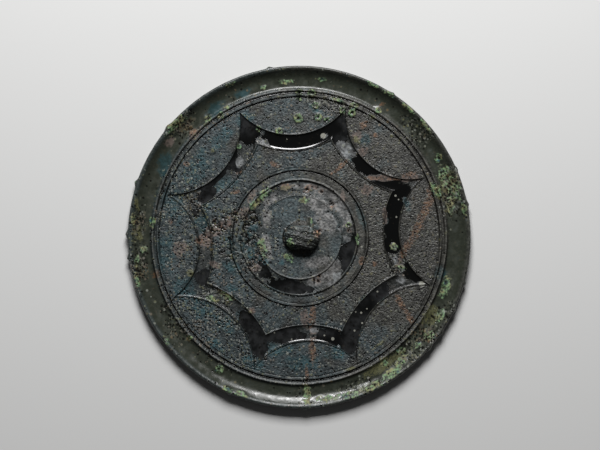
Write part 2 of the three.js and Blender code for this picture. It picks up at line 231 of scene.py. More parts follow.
WART_AREAS = (
    (80, 24, 5, 13, 0, 90, 0.85), (72, -42, 6, 14, -38, 70, 0.75), (35, -78, 32, 5, 22, 90, 0.6),
    (-57, 58, 10, 4, 45, 44, 0.75), (12, 73, 24, 4, -8, 40, 0.7), (-82, 2, 4, 24, 0, 44, 0.75),
    (-42, -31, 9, 4, -25, 40, 0.6), (-38, -78, 12, 4, -28, 24, 0.7), (0, 0, 88, 88, 0, 700, 0.5),
    (-40, 0, 45, 62, 0, 420, 0.55), (-33, -3, 12, 9, 0, 60, 0.55), (-64, -60, 8, 6, -40, 22, 0.6),
    (0, 84, 34, 4, 0, 34, 0.6), (4, 3, 8, 6, 0, 26, 0.7), (62, 62, 12, 5, -45, 22, 0.6),
)

# Single deep holes with rusty borders: x, y and radius.
HOLES = (
    (4, 25, 1.5), (11.7, 23.8, 1.2), (17.3, 17.2, 1.3), (25.8, 6.2, 1.3), (26, 3.4, 1), (10, -23, 1.2),
    (10.5, -20.3, 1), (7.8, -22.2, 1), (5.6, 9.5, 1.1), (10.6, 3.2, 1.2), (-38, 9.5, 1.2),
    (-34.5, 12.5, 1.2), (-42, 6, 1.3), (-46, 3.5, 1.2), (-52.5, -1.5, 1.4), (-49.5, 1, 1.1), (-31, 14, 1.1),
    (-36, 5.5, 1.1), (-44.5, 8.5, 1), (-39.5, 4, 1), (-28.5, 10, 1.2), (-57, -6, 1.2), (-33, 8, 1),
    (4.5, -47, 1.1),
)

# Pale beads on the black gloss: x, y and radius.
BEADS = (
    (33, -45, 0.5), (29, -49, 0.55), (35.5, -37.5, 0.4), (41, -28.5, 0.5), (-13, -50, 0.45),
    (-4, -53.5, 0.4), (50.5, 21.8, 0.6), (52.1, 19.8, 0.4), (50.9, 10.6, 0.5), (23.6, -43.5, 0.6),
    (22.0, -45.4, 0.6), (32.5, -39.6, 0.6), (29.6, -39.2, 0.4), (17.6, -53.3, 0.9), (-6.4, 51.5, 0.4),
    (64.2, -24.6, 1.6), (12.6, 53.2, 1.5), (13.2, -51.5, 0.5), (36.3, -73.8, 0.7), (56.5, -56, 0.6),
    (32.7, -5, 0.6),
)


# ---- Sizes and colours that a user would change ----


def length(name, description, millimetres):
    """A length property whose default is given in millimetres."""
    return bpy.props.FloatProperty(
        name=name, description=description, default=millimetres * MM, unit="LENGTH", precision=5
    )


def colour(name, description, red, green, blue):
    """A colour property."""
    return bpy.props.FloatVectorProperty(
        name=name, description=description, default=(red, green, blue), subtype="COLOR", min=0, max=1
    )


class CastingSizes(bpy.types.PropertyGroup):
    """Sizes of the casting."""

    edge_radius: length("Edge radius", "Radius of the edge, without its crust", 89.8)
    ground: length("Ground height", "Polished face to the patterned ground", 2.4)
    lip: length("Lip height", "Polished face to the top of the rim", 5.55)
    line_rise: length("Line rise", "Height of the ring lines above the ground", 0.85)
    outer_line: length("Outer rim line", "Radius of the outer rim line", 77.0)
    inner_line: length("Inner rim line", "Radius of the inner rim line", 74.3)
    hub_line: length("Hub line", "Radius of the line round the hub", 35.7)
    hollow_outer: length("Hollow, outer crest", "Radius of the hub hollow's outer crest", 30.25)
    hollow_inner: length("Hollow, inner crest", "Radius of the hub hollow's inner crest", 22.0)
    hollow_depth: length("Hollow depth", "Depth of the hub hollow below the ground", 0.45)
    seat: length("Seat height", "Polished face to the plain seat round the knob", 2.5)
    outer_cusp: length("Outer cusp radius", "Where two lobes meet", 72.85)
    outer_crown: length("Outer crown radius", "Where a lobe comes nearest the hub", 53.4)
    inner_cusp: length("Inner cusp radius", "Where two inner arcs meet", 54.0)
    inner_crown: length("Inner crown radius", "Where an inner arc comes nearest the hub", 45.5)
    crest_rise: length("Crest rise", "Height of the arcs' crests above the ground", 0.45)
    band_depth: length("Band depth", "Crest to the lowest part of the arcs' hollow", 0.95)
    whorl_rise: length("Whorl rise", "Relief of the ground's fine pattern", 0.22)
    whorl_size: length("Whorl size", "Distance from one ground whorl to the next", 4.6)
    knob_radius: length("Knob radius", "Radius of the knob along X", 9.3)
    knob_crown: length("Knob crown", "Polished face to the top of the knob between its ribs", 9.3)
    rib_rise: length("Rib rise", "Height of the knob's ribs", 0.5)
    rib_pitch: length("Rib pitch", "Distance from one rib to the next", 4.6)
    hole_width: length("Hole width", "Width of the cord hole", 9.0)
    hole_floor: length("Hole floor", "Polished face to the floor of the cord hole", 2.55)
    hole_spring: length("Hole spring", "Height at which the hole's arch starts", 5.6)
    hole_top: length("Hole top", "Polished face to the top of the cord hole", 7.5)


class PatinaColours(bpy.types.PropertyGroup):
    """Colours of the patina, as linear values."""

    soil: colour("Soil brown", "Ground of the right half", 0.035, 0.0350, 0.0305)
    slate: colour("Slate", "Ground of the left half", 0.027, 0.038, 0.041)
    olive: colour("Olive", "Plain rim", 0.027, 0.031, 0.023)
    gloss: colour("Black gloss", "Glossy hollows", 0.0030, 0.0032, 0.0032)
    sunk: colour("Sunk", "Hollows that have lost their gloss", 0.011, 0.013, 0.012)
    dust: colour("Dust", "Dust on the gloss", 0.024, 0.025, 0.026)
    teal: colour("Teal", "Blue-green stains", 0.012, 0.044, 0.052)
    ash: colour("Ash", "Grey-white mineral", 0.135, 0.142, 0.145)
    haze: colour("Haze", "Lilac-grey film on the hub", 0.112, 0.110, 0.108)
    buff: colour("Buff", "Pale brown mineral", 0.105, 0.078, 0.066)
    rust: colour("Rust", "Orange-brown streaks", 0.118, 0.060, 0.030)
    malachite: colour("Malachite", "Pale green crust", 0.092, 0.150, 0.072)
    ochre: colour("Ochre", "Yellow-green mottling", 0.120, 0.120, 0.055)
    fleck: colour("Fleck", "Pale grains in the crust", 0.24, 0.255, 0.225)
    pit: colour("Pit", "Bottom of the pits", 0.005, 0.0045, 0.004)
    bead: colour("Bead", "Pale beads", 0.22, 0.22, 0.19)
    wear: colour("Wear", "Worn crests", 0.085, 0.083, 0.072)


class StageValues(bpy.types.PropertyGroup):
    """Floor, light and camera."""

    floor_colour: colour("Floor", "Colour of the plain floor", 0.62, 0.62, 0.615)
    floor_size: length("Floor size", "Side of the floor", 3000)
    key_power: bpy.props.FloatProperty(
        name="Key power", description="Power of the main light", default=15.5, unit="POWER"
    )
    key_size: length("Key size", "Side of the main light", 460)
    key_distance: length("Key distance", "Main light to the mirror", 1000)
    key_elevation: bpy.props.FloatProperty(
        name="Key elevation",
        description="Height of the main light above the horizon",
        default=math.radians(41),
        subtype="ANGLE",
        unit="ROTATION",
    )
    world_strength: bpy.props.FloatProperty(
        name="Surroundings", description="Strength of the even light all round", default=0.035
    )
    camera_height: length("Camera height", "Camera above the floor", 1500)
    camera_lens: bpy.props.FloatProperty(
        name="Lens", description="Focal length", default=171.4, subtype="DISTANCE_CAMERA"
    )


def plain_values(group):
    """A property group's values as plain numbers, with its lengths in millimetres."""
    values = {}
    for key in group.__annotations__:
        value = getattr(group, key)
        is_length = getattr(group.bl_rna.properties[key], "unit", "NONE") == "LENGTH"
        values[key] = value / MM if is_length else value
    return SimpleNamespace(**values)


# ---- Turned parts ----


def evenly(start, stop, count):
    """count values from start, evenly spaced, without stop itself."""
    return [start + (stop - start) * step / count for step in range(count)]


def ring_line(radius, ground, rise):
    """Profile of a raised line, from the outside in."""
    flank = ((1.4, -0.04), (1.05, -0.34), (0.72, -0.3), (0.25, 0.92))  # a groove, then the line's side
    outside = [(radius + out, ground + rise * share) for out, share in flank]
    return outside + [(radius - out, ground + rise * share) for out, share in flank[::-1]]


def rim_height(radius, s):
    """Height of the plain rim, which falls from the lip to its lowest part in an S."""
    lowest, start, stop = s.ground - 0.2, 80.6, 89.2
    lean = 1.65  # above 1, so the S climbs late
    share = min(max((radius - start) / (stop - start), 0), 1) ** lean
    return lowest + (s.lip - lowest) * share * share * (3 - 2 * share)


def rim_profile(s):
    """The polished face, the edge, the plain rim and the two rim lines."""
    edge = s.edge_radius
    face = [(0, 0), (44, 0), (80, 0), (edge - 1.2, 0)]
    side = [
        (edge - 0.5, 0.35), (edge - 0.1, 1.0), (edge, 1.9), (edge, 3.1), (edge, 4.3),
        (edge - 0.15, 4.95), (edge - 0.45, 5.35),
    ]
    rim = [(radius, rim_height(radius, s)) for radius in evenly(edge - 0.9, 79.9, 14)]
    step = [
        (2.6, -0.19), (1.9, -0.13), (1.4, 0.06), (0.95, 0.34), (0.55, 0.6), (0.2, 0.78), (-0.15, 0.76),
        (-0.65, -0.08), (-0.9, -0.18), (-1.1, -0.1),
    ]
    outer_line = [(s.outer_line + out, s.ground + rise) for out, rise in step]
    between = [(75.65, s.ground)]
    return face + side + rim + outer_line + between + ring_line(s.inner_line, s.ground, s.line_rise)


# The field is turned with its rows at these plain radii, and then bent to the arcs.
STAR_START, BAND_START, LOBE_START, LOBE_END = 37.0, 50.0, 60.0, 72.95
STAR_FOOT, LOBE_FOOT = 0.95, 0.03  # where the crests' outer flanks start
STAR_EDGE = BAND_START - 0.04 * (BAND_START - STAR_START)
LOBE_EDGE = LOBE_START + LOBE_FOOT * (LOBE_END - LOBE_START)
BAND_SHARES = (0, 0.025, 0.07, 0.15, 0.26, 0.38, 0.5, 0.62, 0.74, 0.86, 0.94, 0.98, 1)


def band_drop(share, s):
    """How far the arcs' hollow lies below its crests."""
    return s.band_depth * (1 - abs(2 * share - 1) ** (5 if share < 0.5 else 9))


def field_profile(s):
    """The star, the band and the lobes, from the outside in."""
    crest = s.ground + s.crest_rise
    half = s.ground + 0.5 * s.crest_rise
    star = [(share, s.ground) for share in evenly(0, STAR_FOOT, STAR_ROWS)]
    star += [(STAR_FOOT, s.ground - 0.12), ((1 + STAR_FOOT) / 2, half)]
    band = [(share, crest - band_drop(share, s)) for share in BAND_SHARES[:-1]]
    lobe = [(0, crest), (LOBE_FOOT / 2, half), (LOBE_FOOT, s.ground - 0.06)]
    lobe += [(share, s.ground) for share in evenly(2 * LOBE_FOOT, 1, LOBE_ROWS - 1)] + [(1, s.ground)]
    stretches = ((star, STAR_START, BAND_START), (band, BAND_START, LOBE_START), (lobe, LOBE_START, LOBE_END))
    rows = []
    for shares, start, stop in stretches:
        rows += [(start + (stop - start) * share, height) for share, height in shares]
    return rows[::-1]


def hub_profile(s):
    """The hub line, the hollow ring between its crests, the seat and the knob's dome."""
    line = [(s.hub_line + 0.9, s.ground)] + ring_line(s.hub_line, s.ground, s.line_rise)[1:]
    band = [(radius, s.ground) for radius in evenly(34.4, s.hollow_outer + 0.8, 5)]
    outer_crest = [
        (s.hollow_outer + 0.95, s.ground - 0.05), (s.hollow_outer + 0.65, s.ground - 0.08),
        (s.hollow_outer + 0.2, s.ground + 0.52), (s.hollow_outer - 0.15, s.ground + 0.55),
        (s.hollow_outer - 0.6, s.ground - 0.14),
    ]
    hollow = []
    for share in (0.05, 0.12, 0.19, 0.27, 0.35, 0.43, 0.51, 0.59, 0.67, 0.75, 0.83, 0.9, 0.95):
        radius = s.hollow_outer + (s.hollow_inner - s.hollow_outer) * share
        hollow.append((radius, s.ground - s.hollow_depth * (1 - abs(2 * share - 1) ** 2.4)))
    inner_crest = [
        (s.hollow_inner + 0.45, s.seat - 0.12), (s.hollow_inner + 0.2, s.seat + 0.2),
        (s.hollow_inner - 0.1, s.seat + 0.28), (s.hollow_inner - 0.4, s.seat + 0.06),
        (s.hollow_inner - 0.7, s.seat),
    ]
    foot = s.knob_radius
    seat = [(radius, s.seat) for radius in evenly(20.7, foot + 1.3, 15)]
    fillet = [(foot + 1.2, s.seat + 0.02), (foot + 0.6, s.seat + 0.14), (foot + 0.2, s.seat + 0.42)]
    spring = s.seat + 0.8
    fullness = 0.85  # below 1, so the dome has full shoulders
    dome = []
    for step in range(DOME_ROWS):
        turn = math.pi / 2 * step / DOME_ROWS
        height = spring + (s.knob_crown - spring) * math.sin(turn) ** fullness
        dome.append((foot * math.cos(turn) ** fullness, height))
    dome.append((0, s.knob_crown))
    return line + band + outer_crest + hollow + inner_crest + seat + fillet + dome


def turn_profile(bm, profile, columns):
    """Turns a profile of (radius, height) pairs about Z: one sector is spun and repeated all round."""
    sector_turn = FULL_TURN / ARC_COUNT
    part = bmesh.new()
    verts = [part.verts.new((radius, 0, height)) for radius, height in profile]
    edges = [part.edges.new(pair) for pair in zip(verts, verts[1:])]
    bmesh.ops.spin(
        part, geom=verts + edges, cent=(0, 0, 0), axis=(0, 0, 1), dvec=(0, 0, 0),
        angle=sector_turn, steps=columns // ARC_COUNT, use_merge=False, use_duplicate=False,
    )
    sector = bpy.data.meshes.new("sector")
    part.to_mesh(sector)
    part.free()
    sector.transform(Matrix.Rotation(math.radians(FIRST_CUSP), 4, "Z"))
    for _ in range(ARC_COUNT):
        bm.from_mesh(sector)
        sector.transform(Matrix.Rotation(sector_turn, 4, "Z"))
    bpy.data.meshes.remove(sector)


def open_ring(bm, radius, near=0.02):
    """The open edges of one turned part that lie on a circle."""
    return [
        edge for edge in bm.edges
        if edge.is_boundary and all(abs(vert.co.xy.length - radius) < near for vert in edge.verts)
    ]


def turned_casting(s):
    """The whole casting as one closed mesh, its arcs not bent yet."""
    bm = bmesh.new()
    rim, field, hub = rim_profile(s), field_profile(s), hub_profile(s)
    turn_profile(bm, rim, RIM_COLUMNS)
    turn_profile(bm, field, FIELD_COLUMNS)
    turn_profile(bm, hub, HUB_COLUMNS)
    bmesh.ops.remove_doubles(bm, verts=bm.verts, dist=0.005)
    for first, second in ((rim[-1], field[0]), (field[-1], hub[0])):
        rings = open_ring(bm, first[0]) + open_ring(bm, second[0])
        bmesh.ops.bridge_loops(bm, edges=rings)
    bmesh.ops.recalc_face_normals(bm, faces=bm.faces)
    mesh = bpy.data.meshes.new("mirror_casting")
    bm.to_mesh(mesh)
    bm.free()
    return mesh


# ---- Bending the rows to the arcs ----


def on_circle(radius, degrees):
    """Points at a radius and turns in degrees."""
    turns = np.radians(degrees)
    return np.column_stack([radius * np.cos(turns), radius * np.sin(turns)])


def arc_through(start, crown, end, shares):
    """Points on the circular arc from start to end by way of the crown."""
    a, b = crown - start, end - start
    cross = 2 * (a[0] * b[1] - a[1] * b[0])
    offset = np.array([b[1] * (a @ a) - a[1] * (b @ b), a[0] * (b @ b) - b[0] * (a @ a)])
    centre = start + offset / cross
    first, last = (math.atan2(*(point - centre)[::-1]) for point in (start, end))
    turns = first - ((first - last) % FULL_TURN) * shares
    return centre + np.linalg.norm(start - centre) * np.column_stack([np.cos(turns), np.sin(turns)])


def linked_arcs(cusp_radius, cusp_drift, crown_radius, crown_drift):
    """The eight arcs of one edge of the band, as one point for each column."""
    per_arc = FIELD_COLUMNS // ARC_COUNT
    shares = np.arange(per_arc) / per_arc
    points = []
    for index in range(ARC_COUNT):
        after = (index + 1) % ARC_COUNT
        even = FIRST_CUSP + 360 / ARC_COUNT * index
        ends = even + cusp_drift[index], even + 360 / ARC_COUNT + cusp_drift[after]
        start, end = on_circle(cusp_radius, ends)
        crown = on_circle(crown_radius + crown_drift[index], [sum(ends) / 2])[0]
        points.append(arc_through(start, crown, end, shares))
    return np.vstack(points)


def bent_to_arcs(plan, columns, plain_radius, s):
    """New plan places of the field's points."""
    even = FIRST_CUSP + 360 * np.arange(FIELD_COLUMNS) / FIELD_COLUMNS
    edges = (
        on_circle(STAR_START, even),
        linked_arcs(s.inner_cusp, INNER_CUSP_DRIFT, s.inner_crown, INNER_CROWN_DRIFT),
        linked_arcs(s.outer_cusp, OUTER_CUSP_DRIFT, s.outer_crown, OUTER_CROWN_DRIFT),
        on_circle(LOBE_END, even),
    )
    limits = (STAR_START, BAND_START, LOBE_START, LOBE_END)
    bent = plan.copy()
    for index in range(3):
        low, high = limits[index : index + 2]
        here = (plain_radius >= low - 1e-3) & (plain_radius <= high + 1e-3)
        share = ((plain_radius[here] - low) / (high - low))[:, None]
        column = columns[here]
        bent[here] = edges[index][column] * (1 - share) + edges[index + 1][column] * share
    return bent


# ---- Relief ----


def smooth(value, low, high):
    """0 below low, 1 above high, and an S between."""
    share = np.clip((value - low) / (high - low), 0, 1)
    return share * share * (3 - 2 * share)


def stripe(value, at, half):
    """1 along a line and 0 beyond half its width from it."""
    return smooth(np.abs(value - at), half, 0.3 * half)


def lumpy(points, size, seed, octaves=2):
    """Smooth noise of about -1 to 1 whose lumps are size mm across."""
    shift = Vector((17.3, 31.7, 7.9)) * seed
    return np.array([noise.fractal(Vector(p) / size + shift, 1.0, 2.0, octaves) for p in points])


def whorls(x, y, size):
    """The ground's pattern, -1 to 1: staggered spirals with slanting hatching between them."""
    row = np.round(y / (0.86 * size))
    shift = np.where(row % 2 == 0, 0, size / 2)
    column = np.round((x - shift) / size)
    across, up = x - shift - column * size, y - row * 0.86 * size
    away = np.hypot(across, up)
    handed = np.where((row + column) % 2 == 0, 1, -1)
    line = size / 4.3
    spiral = np.cos(FULL_TURN * away / line - handed * np.arctan2(up, across))
    hatching = np.cos(FULL_TURN * (across * handed + up) * 0.707 / line)
    inside = smooth(away, 0.5 * size, 0.4 * size)
    return spiral * inside + hatching * (1 - inside)


def stained(x, y, patches, ragged):
    """How far inside the patches each point lies, from 0 to 1, with ragged borders."""
    inside = np.full(len(x), -1.0)
    for middle_x, middle_y, half_length, half_width, turn in patches:
        cos, sin = math.cos(math.radians(turn)), math.sin(math.radians(turn))
        along = ((x - middle_x) * cos + (y - middle_y) * sin) / half_length
        across = ((y - middle_y) * cos - (x - middle_x) * sin) / half_width
        inside = np.maximum(inside, 1 - np.hypot(along, across))
    return smooth(inside + ragged, -0.25, 0.5)


def scattered(areas, seed):
    """Places and radii of small marks strewn over some areas: x, y, radius."""
    rng = np.random.default_rng(seed)
    marks = []
    for middle_x, middle_y, half_length, half_width, turn, count, radius in areas:
        away = np.sqrt(rng.random(count))
        round_it = rng.random(count) * FULL_TURN
        along, across = half_length * away * np.cos(round_it), half_width * away * np.sin(round_it)
        cos, sin = math.cos(math.radians(turn)), math.sin(math.radians(turn))
        x, y = middle_x + along * cos - across * sin, middle_y + along * sin + across * cos
        marks.append(np.column_stack([x, y, radius * (0.55 + 0.9 * rng.random(count) ** 2)]))
    return np.vstack(marks)


def marked(x, y, marks):
    """Height share of round marks: 1 in the middle of each, 0 outside."""
    share = np.zeros(len(x))
    order = np.argsort(x)
    sorted_x = x[order]
    for middle_x, middle_y, radius in marks:
        low, high = np.searchsorted(sorted_x, (middle_x - radius, middle_x + radius))
        near = order[low:high]
        away = np.hypot(x[near] - middle_x, y[near] - middle_y) / radius
        share[near] = np.maximum(share[near], smooth(away, 1, 0.25))
    return share


def ringed(x, y, warts):
    """Relief in mm of the ringed warts, and how much of each point they and their sunk middles cover."""
    rise, cover, core = np.zeros((3, len(x)))
    for middle_x, middle_y, radius, height in warts:
        away = np.hypot(x - middle_x, y - middle_y) / (1.15 * radius)
        rise += height * (np.exp(-(((away - 0.72) / 0.3) ** 2)) - 0.5 * np.exp(-((away / 0.35) ** 2)))
        cover = np.maximum(cover, smooth(away, 1.3, 0.85))
        core = np.maximum(core, smooth(away, 0.5, 0.2))
    return rise, cover, core


def set_attribute(mesh, name, values):
    """Stores one number for each vertex."""
    attribute = mesh.attributes.new(name, "FLOAT", "POINT")
    attribute.data.foreach_set("value", values.astype(np.float32))


def coordinates(mesh):
    """The mesh's vertices as an array."""
    places = np.empty(len(mesh.vertices) * 3)
    mesh.vertices.foreach_get("co", places)
    return places.reshape(-1, 3)


def knob_shaped(places, plain_radius, s):
    """Draws the knob in along Y, moves it to its place and raises its wavy ribs and lumps."""
    grip = smooth(plain_radius, s.knob_radius + 3.5, s.knob_radius + 1.0)
    x, y, z = places.T
    on_dome = smooth(plain_radius, s.knob_radius + 0.1, s.knob_radius - 0.4)
    turn = math.radians(RIB_TURN)
    across = y * math.cos(turn) - x * math.sin(turn) + 0.7 * lumpy(places, 4, 9)
    nearest = np.clip(np.round(across / s.rib_pitch), -1, 1) * s.rib_pitch
    rib = np.exp(-(((across - nearest) / 1.3) ** 2)) * s.rib_rise
    rib = on_dome * (rib + 0.1 * np.sin(FULL_TURN * across / 1.7) + 0.16 * lumpy(places, 1.5, 12))
    outward = np.column_stack([x, y, (z - s.seat) * 1.2])
    outward /= np.maximum(np.linalg.norm(outward, axis=1), 1e-6)[:, None]
    places = places + outward * rib[:, None]
    places[:, 1] *= 1 - grip * (1 - KNOB_SQUASH)
    places[:, 0] += grip * KNOB_X
    return places


def turned_masks(places, plain_radius, s):
    """Masks that follow the turned rows: ground, channel, hollow, crests and the grooves' dirt and painted
    shade.
    """
    in_star = (plain_radius > s.hub_line + 0.9) & (plain_radius < STAR_EDGE)
    in_lobe = (plain_radius > LOBE_EDGE) & (plain_radius < 73.1)
    channel = (plain_radius > BAND_START + 0.2) & (plain_radius < LOBE_START - 0.2)
    hollow = (plain_radius > s.hollow_inner + 0.2) & (plain_radius < s.hollow_outer - 0.2)

    crests = (
        (s.inner_line, 0.3), (s.hub_line, 0.3), (s.outer_line, 0.35), (s.hollow_outer, 0.3),
        (s.hollow_inner, 0.25), (BAND_START, 0.2), (LOBE_START, 0.15),
    )
    bands = stripe(plain_radius, 75.5, 1.6) + stripe(plain_radius, 33.1, 2.4)
    crest = sum(stripe(plain_radius, *line) for line in crests) + 0.45 * bands

    # Painted shade: each line's grooves are darkened on the side that faces -Y, away from the key light.
    # The inner groove also keeps a little dirt all round.
    upper = smooth(places[:, 1] / np.maximum(plain_radius, 1), -0.25, 0.25)
    grime = 0
    for line in (s.inner_line, s.outer_line, s.hub_line, s.hollow_outer):
        grime += stripe(plain_radius, line - 0.85, 0.6) * (0.25 + 0.75 * upper)
        grime += stripe(plain_radius, line + 0.85, 0.6) * (1 - upper)
    feet = (
        (s.hollow_inner + 0.45, 0.3), (BAND_START - 0.05 * (BAND_START - STAR_START), 0.35),
        (BAND_START + 0.6, 0.45), (LOBE_START - 0.5, 0.45),
    )
    grime += 0.8 * sum(stripe(plain_radius, *foot) for foot in feet)
    # A dark line round the knob's foot, on its -X side.
    grime += stripe(plain_radius, s.knob_radius + 0.3, 0.7) * smooth(places[:, 0], 2, -4)
    grime += 0.6 * stripe(plain_radius, LOBE_EDGE, 0.2)
    return SimpleNamespace(
        ground=(in_star | in_lobe).astype(float), channel=channel, hollow=hollow, crest=crest, grime=grime
    )


def edge_crusted(places, middling, fine, s):
    """Swells the edge into its lumps, which stay inside the solid's own, and says where they are crusted."""
    x, y, z = places.T
    radius = np.hypot(x, y)
    edge = smooth(radius, s.edge_radius - 1.6, s.edge_radius - 0.2)
    out = 0.06 * middling
    crust = np.zeros(len(x))
    for lump_turn, reach, width in EDGE_LUMPS:
        off = (np.degrees(np.arctan2(y, x)) - lump_turn + 180) % 360 - 180
        arc = np.radians(off) * s.edge_radius
        bulge = np.exp(-((arc / (0.42 * width)) ** 2)) * np.exp(-(((z - 3.8) / 1.7) ** 4))
        out = out + 0.9 * reach * bulge * (1 + 0.25 * fine)
        crust = np.maximum(crust, bulge * edge * smooth(fine, -0.6, 0.3))
    growth = 1 + edge * out / np.maximum(radius, 1)
    return np.column_stack([x * growth, y * growth, z]), crust


def shape_casting(mesh, s):
    """Bends the rows, adds the relief and the corrosion, and paints the stains and the grooves' painted shade
    as attributes.
    """
    places = coordinates(mesh)
    top = places[:, 2] > 1.5
    plain_radius = np.where(top, np.hypot(places[:, 0], places[:, 1]), 1000)
    turn = np.degrees(np.arctan2(places[:, 1], places[:, 0])) - FIRST_CUSP
    columns = np.round(turn / 360 * FIELD_COLUMNS).astype(int) % FIELD_COLUMNS
    masks = turned_masks(places, plain_radius, s)
    places[:, :2] = bent_to_arcs(places[:, :2], columns, plain_radius, s)
    places = knob_shaped(places, plain_radius, s)
    x, y, z = places.T
    radius = np.hypot(x, y)

    broad = lumpy(places, 14, 1)
    middling = lumpy(places, 3.2, 2, 3)
    fine = lumpy(places, 1.1, 3)
    ragged = np.where(masks.channel, 0.45 * lumpy(places, 4.5, 4, 1), 0.35 * middling + 0.25 * fine)
    upward = top.astype(float)
    wall = smooth(radius, s.edge_radius - 0.7, s.edge_radius - 0.2) * smooth(z, 5.3, 4.5)
    lip = smooth(radius, 86.8, 88) * (1 - wall)  # dull and a little corroded
    rim = smooth(radius, 77.2, 79)
    sunk = masks.channel | masks.hollow

    stains = {
        "malachite": stained(x, y, MALACHITE, ragged),
        "teal": stained(x, y, TEAL, ragged + 0.1 * broad),
        "ash": stained(x, y, ASH, ragged),
        "haze": stained(x, y, HAZE, 0.7 * ragged),
        "buff": stained(x, y, BUFF, ragged),
        "rust": stained(x, y, RUST, ragged),
        "ochre": stained(x, y, OCHRE, ragged),
    }
    crusty = stained(x, y, CRUST, ragged + 0.3 * broad)
    bare = 1 - 0.85 * rim * smooth(crusty, 0.5, 0.1)  # the clean rim has few marks
    pits = marked(x, y, np.vstack([scattered(PIT_AREAS, 11), HOLES])) * bare
    borders = marked(x, y, [(hole_x, hole_y, 1.9 * size) for hole_x, hole_y, size in HOLES])
    warts = marked(x, y, scattered(WART_AREAS, 23)) * bare
    ring_rise, ring_cover, ring_core = ringed(x, y, RINGED_WARTS)
    stains["rust"] = np.maximum(stains["rust"], 0.9 * borders)
    gloss = sunk * smooth(stained(x, y, GLOSS, 0.8 * ragged), 0.06, 0.3)
    gloss *= (1 - 0.9 * stains["ash"]) * (1 - 0.9 * stains["buff"])
    gloss *= 1 - 0.8 * stains["haze"] * masks.hollow
    unstained = sunk * (1 - 0.8 * stains["buff"]) * (1 - 0.8 * stains["haze"])
    stains["malachite"] = np.maximum(stains["malachite"], ring_cover)
    stains = {name: values * upward * (1 - 0.85 * wall) for name, values in stains.items()}

    # Relief: the ground's whorls, then unevenness, crust, marks and warts wherever the gloss is gone.
    plain = upward * (1 - gloss)
    pattern = whorls((x + 2.2 * broad) / 1.25, y + 1.6 * lumpy(places, 9, 5), s.whorl_size)
    leftward = np.clip(-x / 60, 0, 1)
    weathered = (1 - 0.7 * stains["buff"]) * (1 - 0.5 * leftward)
    z = z + masks.ground * s.whorl_rise * 0.5 * pattern * weathered
    z = z + upward * 0.05 * broad + plain * (0.05 * middling + 0.04 * fine)
    crusted = np.maximum(stains["malachite"], 0.6 * stains["ochre"])
    cave = -0.6 * middling - 0.6 * fine
    z = z + plain * crusted * (0.22 - 0.45 * cave)
    z = z + plain * (0.05 * stains["ash"] + 0.04 * stains["buff"])
    z = z + plain * (0.32 * warts - 0.34 * pits + ring_rise)

    places, edge_crust = edge_crusted(np.column_stack([x, y, z]), middling, fine, s)
    stains["malachite"] = np.maximum(stains["malachite"], edge_crust)
    low, high = (np.array(corner) / MM for corner in cad_box)
    places = np.clip(places, low, high)
    places[~top & (places[:, 2] < 0.1), 2] = 0
    mesh.vertices.foreach_set("co", (places * MM).ravel())

    side = np.clip(-x / 60, -1, 1)
    stains.update(
        gloss=gloss,
        pits=np.maximum(pits * plain, 0.8 * ring_core * upward),
        warts=warts * plain,
        cave=plain * crusted * smooth(cave, 0.12, 0.5),
        crusty=crusty * upward * (1 - wall),
        film=stained(x, y, FILM, 0.6 * ragged),
        upward=upward,
        ground=masks.ground,
        sunk=unstained,
        crest=np.clip(masks.crest, 0, 1) * upward,
        grime=np.clip(masks.grime, 0, 1) * upward,
        rim=rim * (1 - 0.55 * lip) * np.maximum(upward, smooth(radius, 88.7, 89.2)),
        left=0.5 + 0.5 * side + 0.35 * smooth(-y, 20, 50),
        hub=smooth(radius, 34, 28) * upward,
        knob=smooth(plain_radius, s.knob_radius + 0.6, s.knob_radius - 0.2),
    )
    for name, values in stains.items():
        set_attribute(mesh, name, values)


# ---- Cord hole and finish ----


def cord_hole_cutter(s):
    """An arched bar along Y that cuts the cord hole."""
    half, rise = s.hole_width / 2, s.hole_top - s.hole_spring
    steps, reach = 16, 10.5
    turns = [math.pi * step / steps for step in range(steps + 1)]
    arch = [(half * math.cos(turn), s.hole_spring + rise * math.sin(turn)) for turn in turns]
    outline = [(half, s.hole_floor)] + arch + [(-half, s.hole_floor)]
    bm = bmesh.new()
    verts = [bm.verts.new((x + KNOB_X, -reach, z)) for x, z in outline]
    face = bmesh.ops.contextual_create(bm, geom=verts)["faces"][0]
    pulled = bmesh.ops.extrude_face_region(bm, geom=[face])["geom"]
    moved = [part for part in pulled if isinstance(part, bmesh.types.BMVert)]
    bmesh.ops.translate(bm, verts=moved, vec=(0, 2 * reach, 0))
    bmesh.ops.recalc_face_normals(bm, faces=bm.faces)
    bmesh.ops.scale(bm, verts=bm.verts, vec=(MM, MM, MM))
    mesh = bpy.data.meshes.new("cord_hole_cutter")
    bm.to_mesh(mesh)
    bm.free()
    return bpy.data.objects.new("cord_hole_cutter", mesh)


def cut_with(piece, cutter):
    """Cuts the cutter's shape out of the piece and drops the cutter."""
    bpy.context.scene.collection.objects.link(cutter)
    cut = piece.modifiers.new("cord_hole", "BOOLEAN")
    cut.operation = "DIFFERENCE"
    cut.solver = "EXACT"
    cut.object = cutter
    bpy.context.view_layer.update()
    graph = bpy.context.evaluated_depsgraph_get()
    mesh = bpy.data.meshes.new_from_object(
        piece.evaluated_get(graph), preserve_all_data_layers=True, depsgraph=graph
    )
    piece.modifiers.clear()
    piece.data = mesh
    bpy.data.objects.remove(cutter)


def tidy_mesh(mesh):
    """Merges the points that crowd at the cusps and shades the casting smooth, with crisp arrises."""
    bm = bmesh.new()
    bm.from_mesh(mesh)
    bmesh.ops.remove_doubles(bm, verts=bm.verts, dist=0.004 * MM)
    bmesh.ops.dissolve_degenerate(bm, edges=bm.edges, dist=0.002 * MM)
    bmesh.ops.delete(bm, geom=[edge for edge in bm.edges if edge.is_wire], context="EDGES")
    bm.to_mesh(mesh)
    bm.free()
    mesh.shade_smooth()
    mesh.set_sharp_from_angle(angle=math.radians(60))


# ---- Material ----


